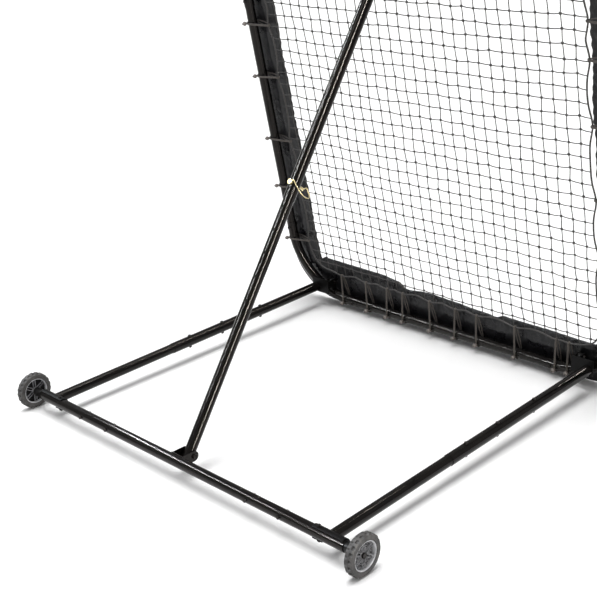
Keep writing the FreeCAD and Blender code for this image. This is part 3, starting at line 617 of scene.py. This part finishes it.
def build_rim(side):
    """A moulded rim: bright lip, a black dish that is painted shade in the windows between the spokes, six ribbed
    spokes and round bosses.
    """
    joint = joints["wheel_spin_" + side]
    centre = Vector(joint["pos_m"])
    out = Vector((math.copysign(1, centre.x), 0, 0))
    centre = Vector((math.copysign(WHEEL_MID, centre.x), centre.y, centre.z))

    def at(radius, angle, off):
        return (centre + out * off
                + Vector((0, math.cos(angle), math.sin(angle))) * radius)

    def turned(soup, section, count=96):
        """A closed section of (radius, offset) turned round the axle."""
        base = len(soup.verts)
        size = len(section)
        for k in range(count):
            for radius, off in section:
                soup.verts.append(at(radius, 2 * math.pi * k / count, off))
        for k in range(count):
            n = (k + 1) % count
            for j in range(size):
                m = (j + 1) % size
                soup.faces.append((base + k * size + j, base + k * size + m,
                                   base + n * size + m, base + n * size + j))

    def rib(soup, a, b, half_width, low, high):
        """A straight wall between two points given as (radius, angle)."""
        p, q = at(a[0], a[1], 0), at(b[0], b[1], 0)
        beside = out.cross((q - p).normalized()) * half_width
        base = len(soup.verts)
        for point in (p, q):
            for way in (-1, 1):
                for off in (low, high):
                    soup.verts.append(point + beside * way + out * off)
        for face in BLOCK:
            soup.faces.append(tuple(base + k for k in face))

    def boss(turn, radius, size):
        """A raised ring, with a black plug of painted shade for its hole."""
        middle = at(radius, turn, 0)
        ring = [middle + Vector((0, math.cos(t), math.sin(t))) * size + out * 0.0036
                for t in [2 * math.pi * k / 20 for k in range(20)]]
        bright.tube(ring, 0.0009, 6, out, closed=True)
        shade_fill.tube([middle + out * 0.0004, middle + out * 0.0030], size * 0.85, 16)

    lip = Soup()
    bright = Soup()
    # the black dish and hole plugs: painted shade where the rim's windows and holes lie in shadow
    shade_fill = Soup()
    front = [(RIM_R - depth, off) for depth, off in BARREL]
    turned(lip, front + [(radius, -off) for radius, off in reversed(front)])
    turned(shade_fill, [(radius, off) for radius, off in (
        (RIM_R - 0.0036, SHADE_DISH[0]), (RIM_R - 0.0036, SHADE_DISH[1]),
        (HUB_R - 0.001, SHADE_DISH[1]), (HUB_R - 0.001, SHADE_DISH[0]))])
    for radius in (RING_R, OUTER_RING_R):
        top = RIB_HIGH - 0.0015
        turned(bright, [(radius - 0.0010, 0.0), (radius + 0.0010, 0.0),
                        (radius + 0.0007, top), (radius - 0.0007, top)])
    turned(bright, [(HUB_R, -HUB_IN), (HUB_R, HUB_OUT - 0.0006), (HUB_R - 0.002, HUB_OUT),
                    (HUB_BORE_R, HUB_OUT), (HUB_BORE_R, -HUB_IN)], 48)
    for i in range(SPOKES):
        angle = 2 * math.pi * i / SPOKES + math.pi / 2
        for way in (-1, 1):
            near = (math.hypot(HUB_R - 0.002, RIB_IN), angle + way * math.atan(RIB_IN / HUB_R))
            far = (math.hypot(RIM_R - 0.004, RIB_IN), angle + way * math.atan(RIB_IN / RIM_R))
            rib(bright, near, far, RIB_HALF_T, -RIB_HIGH, RIB_HIGH)
        for share, radius, size in BOSSES:
            boss(angle + share * 2 * math.pi / SPOKES, radius, size)
    # the third object, the black dish with its hole plugs, is painted shade
    for soup, name, slot, material in ((lip, "rim_barrel_", "rim_silver", None),
                                       (bright, "rim_ribs_", "rim_silver", RIM_GREY),
                                       (shade_fill, "rim_shade_dish_", "black_plastic", RIM_PAINTED_SHADE)):
        obj = soup.build(name + side, slot, material)
        face_outwards(obj.data)
        obj.data.set_sharp_from_angle(angle=math.radians(40))
        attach(obj, "wheel_" + side)
        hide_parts("rim_" + side)


# --- padded cover ---------------------------------------------------------------
# points (across, up) of the wavy inner edge along the bottom
BOTTOM_EDGE = ((-0.75, 0.224), (-0.55, 0.222), (-0.38, 0.219), (-0.28, 0.207), (-0.23, 0.178),
               (-0.12, 0.190), (0.02, 0.186), (0.17, 0.176), (0.24, 0.170), (0.275, 0.186),
               (0.45, 0.182), (0.75, 0.176))


def bottom_edge(x):
    """The height of the cover's inner edge along the bottom: three runs of cloth
    that are bunched up where they meet."""
    for (x0, h0), (x1, h1) in zip(BOTTOM_EDGE, BOTTOM_EDGE[1:]):
        if x0 <= x <= x1:
            t = (x - x0) / (x1 - x0)
            t = t * t * (3 - 2 * t)
            return h0 + (h1 - h0) * t
    return BOTTOM_EDGE[0][1] if x < 0 else BOTTOM_EDGE[-1][1]


edge_wave = smooth_noise(21, (4.0, 9.0, 17.0, 31.0), 0.0065)
fine_wave = smooth_noise(22, (61.0, 97.0, 141.0), 0.0030)


def crumple(x, h, size, octaves=4):
    """Creased cloth: ridges of a fractal noise, about nought to one."""
    at = Vector((x / size, h / size, 0.0))
    return noise.ridged_multi_fractal(at, 0.9, 2.1, octaves, 1.0, 2.0) / 2.2


def pressed(x, h):
    """How firmly a hinge presses the cover's back flat, by the way to the nearer hinge."""
    away = math.hypot(abs(x) - HINGE_X, h - HINGE_H)
    return math.exp(-(away / 0.09) ** 4)


def cover_profile(across):
    """Steps round the cover's section: c across the band from its outer edge, and
    z through its thickness, front first."""
    steps = []
    for k in range(across):
        u = 2 * math.pi * (k + 0.5) / across
        c = 0.5 - 0.5 * math.copysign(abs(math.cos(u)) ** 0.62, math.cos(u))
        steps.append((c, math.copysign(abs(math.sin(u)) ** 0.6, math.sin(u))))
    return steps


PAD_INSET = 0.002         # the cloth, inside the CAD pad's outline
INNER_HALF = 0.742        # the cover's inner edge
INNER_LOW = 0.186
INNER_HIGH = PAD_H - INNER_LOW
INNER_CORNER = 0.050
PAD_MID = PAD_H / 2
CLOTH_IN = 0.0015         # the cloth, inside the CAD pad's faces
HINGE_BULGE = -0.0025     # the furthest that the back bulges at a hinge
BULGE = 0.0085            # the tube's pull on the back of the cover
FELT_SHARE = 0.30         # felt from the outer edge to this share of the band
FLOOR_GAP = 0.0003


def inner_edge(x, h, ix, iz):
    """The plain inner edge's point that faces a point of the outer edge."""
    tx = max(-INNER_HALF, min(INNER_HALF, x))
    th = max(INNER_LOW, min(INNER_HIGH, h))
    if abs(ix) > 0.02 and abs(iz) > 0.02:
        a = math.atan2(abs(iz), abs(ix))
        cx = math.copysign(INNER_HALF - INNER_CORNER, x)
        ch = PAD_MID + math.copysign(INNER_HIGH - PAD_MID - INNER_CORNER, h - PAD_MID)
        tx = cx + math.copysign(INNER_CORNER * math.cos(a), x)
        th = ch + math.copysign(INNER_CORNER * math.sin(a), h - PAD_MID)
    return tx, th


def cover_offset(x, h, c, z, bottom, hold):
    """The cloth's place through the pad: a flat front, and a back that bulges over
    the tube and is creased most near its inner edge."""
    off = PAD_T / 2 + (PAD_T / 2 - CLOTH_IN) * z
    soft = math.sin(math.pi * c) ** 0.35
    if z > 0:
        return off + soft * (0.0022 * crumple(x, h, 0.22, 2) - 0.0016)
    off -= BULGE * math.exp(-((c - 0.68) / 0.13) ** 2) * (1 - 0.7 * hold)
    off -= 0.0022 * soft * (crumple(x, h, 0.14, 3) - 0.4)
    deep = 0.0120 if bottom else 0.0060
    inner = max(0.0, min(1.0, (c - 0.52) / 0.3))
    off += deep * inner * (crumple(x * 1.3, h * 1.3, 0.045, 4) - 0.62)
    return off + (max(off, HINGE_BULGE) - off) * pressed(x, h)


def build_cover():
    """One sewn ring of padding. Its profile runs over the front, round the inner
    edge, across the back and round the outer edge."""
    outer = rounded_ring(PAD_X - PAD_INSET, PAD_INSET, PAD_H - PAD_INSET,
                         PAD_CORNER - PAD_INSET, 0.0050)
    profile = cover_profile(72)
    verts = []
    along = 0.0
    for i, (x, h, ix, iz) in enumerate(outer):
        if i:
            along += math.hypot(x - outer[i - 1][0], h - outer[i - 1][1])
        tx, th = inner_edge(x, h, ix, iz)
        wave = edge_wave(along) + fine_wave(along)
        bottom = th < PAD_MID and abs(iz) > 0.5
        if bottom:
            wave = wave * 0.3 + bottom_edge(tx) - INNER_LOW
        hold = near_loop(tx, th, 0.045)
        tx += ix * wave
        th += iz * wave
        for c, z in profile:
            px = x + (tx - x) * c
            ph = h + (th - h) * c
            verts.append(on_frame(px, cover_offset(px, ph, c, z, bottom, hold), ph))
    across = len(profile)
    faces = []
    felted = []
    for i, point in enumerate(outer):
        n = (i + 1) % len(outer)
        upright = abs(point[2]) > 0.25
        for k, (c, z) in enumerate(profile):
            m = (k + 1) % across
            faces.append((i * across + k, i * across + m, n * across + m, n * across + k))
            felted.append(1 if upright and z < 0 and c < FELT_SHARE else 0)
    mesh = mesh_from("padded_cover", verts, faces)
    obj = new_object("padded_cover", mesh, "pad_cover")
    obj.data.materials.append(FELT)
    mesh.polygons.foreach_set("material_index", felted)
    for v in mesh.vertices:
        v.co.z = max(v.co.z, FLOOR_GAP)
    face_outwards(mesh)
    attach(obj, "net_frame")
    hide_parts("pad_bottom", "pad_top", "pad_side_left", "pad_side_right")


# --- strut tube with its row of holes -------------------------------------------
STRUT_LONG = 1.270
STRUT_BORE_R = 0.0184
FOOT_IN = 0.020           # the tube's lower end, past its foot bolt
PIN_UP = 1.008            # the topmost hole, from the foot bolt
HOLE_PITCH = 0.088
HOLES = 6
PIN_HOLE_R = 0.0054
FOOT_HOLE_R = 0.0051


def add_drill(bm, at, way, radius):
    """A cutter for a hole through the tube."""
    turn = way.to_track_quat("Z", "Y").to_matrix().to_4x4()
    turn.translation = at
    bmesh.ops.create_cone(bm, cap_ends=True, segments=40, radius1=radius, radius2=radius,
                          depth=3 * TUBE_R, matrix=turn)


def plain_strut():
    """The inner strut tube before its holes."""
    side = Vector((1, 0, 0))
    turn = Matrix((side, STRUT_DIR.cross(side), STRUT_DIR)).transposed().to_4x4()
    turn.translation = FOOT - STRUT_DIR * FOOT_IN
    bm = bmesh.new()
    sides = 96
    rings = []
    for r, z in ((STRUT_BORE_R, 0), (TUBE_R, 0), (TUBE_R, STRUT_LONG),
                 (STRUT_BORE_R, STRUT_LONG)):
        angles = [2 * math.pi * k / sides for k in range(sides)]
        rings.append([bm.verts.new((r * math.cos(a), r * math.sin(a), z)) for a in angles])
    for i in range(4):
        a, b = rings[i], rings[(i + 1) % 4]
        for k in range(sides):
            n = (k + 1) % sides
            bm.faces.new((a[k], a[n], b[n], b[k]))
    bmesh.ops.recalc_face_normals(bm, faces=bm.faces)
    mesh = bpy.data.meshes.new("strut_lower_tube")
    bm.to_mesh(mesh)
    bm.free()
    mesh.transform(turn)
    return new_object("strut_lower_tube", mesh, "tube_black", smooth=False)


def build_strut_tube():
    """The inner strut tube, with six separate holes in place of the CAD's slot."""
    obj = plain_strut()
    cutter = bmesh.new()
    for k in range(HOLES):
        add_drill(cutter, FOOT + STRUT_DIR * (PIN_UP - HOLE_PITCH * k), PIN_DIR, PIN_HOLE_R)
    add_drill(cutter, FOOT, Vector((1, 0, 0)), FOOT_HOLE_R)
    cut_mesh = bpy.data.meshes.new("cut")
    cutter.to_mesh(cut_mesh)
    cutter.free()
    cut = bpy.data.objects.new("cut", cut_mesh)
    bpy.context.scene.collection.objects.link(cut)
    mod = obj.modifiers.new("holes", "BOOLEAN")
    mod.object = cut
    mod.solver = "EXACT"
    deps = bpy.context.evaluated_depsgraph_get()
    done = bpy.data.meshes.new_from_object(obj.evaluated_get(deps))
    obj.modifiers.clear()
    obj.data = done
    bpy.data.objects.remove(cut)
    done.polygons.foreach_set("use_smooth", [True] * len(done.polygons))
    done.set_sharp_from_angle(angle=math.radians(35))
    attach(obj, "strut_lower")
    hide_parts("strut_inner_tube")


# --- floor, light and camera ----------------------------------------------------
FLOOR_HALF = 90
COOL = (0.90, 0.95, 1)


def build_stage():
    half = FLOOR_HALF
    mesh = mesh_from("floor", [(-half, -half, 0), (half, -half, 0), (half, half, 0),
                               (-half, half, 0)], [(0, 1, 2, 3)])
    floor = bpy.data.objects.new("floor", mesh)
    bpy.context.scene.collection.objects.link(floor)
    m = Mat("studio_floor", Roughness=0.6)
    m.colour(m.noise(3.0), "Fac", (0.90, 0.90, 0.90), (0.915, 0.915, 0.915))
    floor.data.materials.append(m.mat)


def strip_light(name, at, target, size, power, colour):
    """A narrow lamp that shows only in reflections."""
    light = bpy.data.lights.new(name, "AREA")
    light.shape = "RECTANGLE"
    light.size, light.size_y = size
    light.energy = power
    light.color = colour
    obj = bpy.data.objects.new(name, light)
    bpy.context.scene.collection.objects.link(obj)
    obj.location = at
    way = Vector(target) - Vector(at)
    obj.rotation_euler = way.to_track_quat("-Z", "Y").to_euler()
    obj.visible_diffuse = False


def soft_sun(name, tilt, energy):
    sun = bpy.data.lights.new(name, "SUN")
    sun.energy = energy
    sun.angle = 0.55
    lamp = bpy.data.objects.new(name, sun)
    bpy.context.scene.collection.objects.link(lamp)
    lamp.rotation_euler = (math.radians(tilt), math.radians(-4), 0)


def build_light():
    world = bpy.data.worlds.new("studio")
    bpy.context.scene.world = world
    world.use_nodes = True
    back = world.node_tree.nodes["Background"]
    back.inputs["Color"].default_value = (1.0, 1.0, 1.0, 1)
    back.inputs["Strength"].default_value = 0.42
    # a long softbox overhead, along Y: three wide suns in a row
    soft_sun("overhead", 3, 2.0)
    soft_sun("overhead_rear", -20, 0.8)
    soft_sun("overhead_front", 24, 0.8)
    # narrow strips, whose reflections are the lines along the tubes
    strip_light("strip_bar", (-4.0, -1.75, 4.2), (-0.2, -0.6, 0.1), (4.4, 0.06), 270, COOL)
    strip_light("strip_strut", (3.7, -1.4, 2.3), (0, -0.3, 0.9), (0.06, 4.6), 430,
                (1, 0.97, 0.92))
    strip_light("strip_rear", (-2.6, -4.6, 4.4), (0, -0.4, 0.7), (0.06, 3.4), 310, COOL)
    strip_light("strip_side", (0.9, 3.8, 4.2), (0.2, 0.0, 0.1), (0.06, 4.0), 140,
                (1, 0.94, 0.88))
    bpy.context.scene.view_settings.view_transform = "Standard"


CAMERA_AT = (2.723, BAR_Y - 2.146, 2.013)
CAMERA_YAW = math.radians(-44.49)
CAMERA_DOWN = math.radians(21.68)
CAMERA_ROLL = math.radians(-1.86)
CAMERA_LENS = 68.69


def build_camera():
    level = math.cos(CAMERA_DOWN)
    forward = Vector((math.sin(CAMERA_YAW) * level, math.cos(CAMERA_YAW) * level,
                      -math.sin(CAMERA_DOWN)))
    right = forward.cross(Vector((0, 0, 1))).normalized()
    up = right.cross(forward)
    rolled_right = right * math.cos(CAMERA_ROLL) + up * math.sin(CAMERA_ROLL)
    rolled_up = up * math.cos(CAMERA_ROLL) - right * math.sin(CAMERA_ROLL)
    turn = Matrix((rolled_right, rolled_up, -forward)).transposed()
    cam = bpy.data.cameras.new("camera")
    cam.lens = CAMERA_LENS
    cam.sensor_width = 36.0
    cam.clip_end = 100
    obj = bpy.data.objects.new("camera", cam)
    bpy.context.scene.collection.objects.link(obj)
    obj.matrix_world = Matrix.Translation(CAMERA_AT) @ turn.to_4x4()
    bpy.context.scene.camera = obj


build_rope()
build_net()
build_bungees()
build_rim("left")
build_rim("right")
build_cover()
build_strut_tube()
build_stage()
build_light()
build_camera()
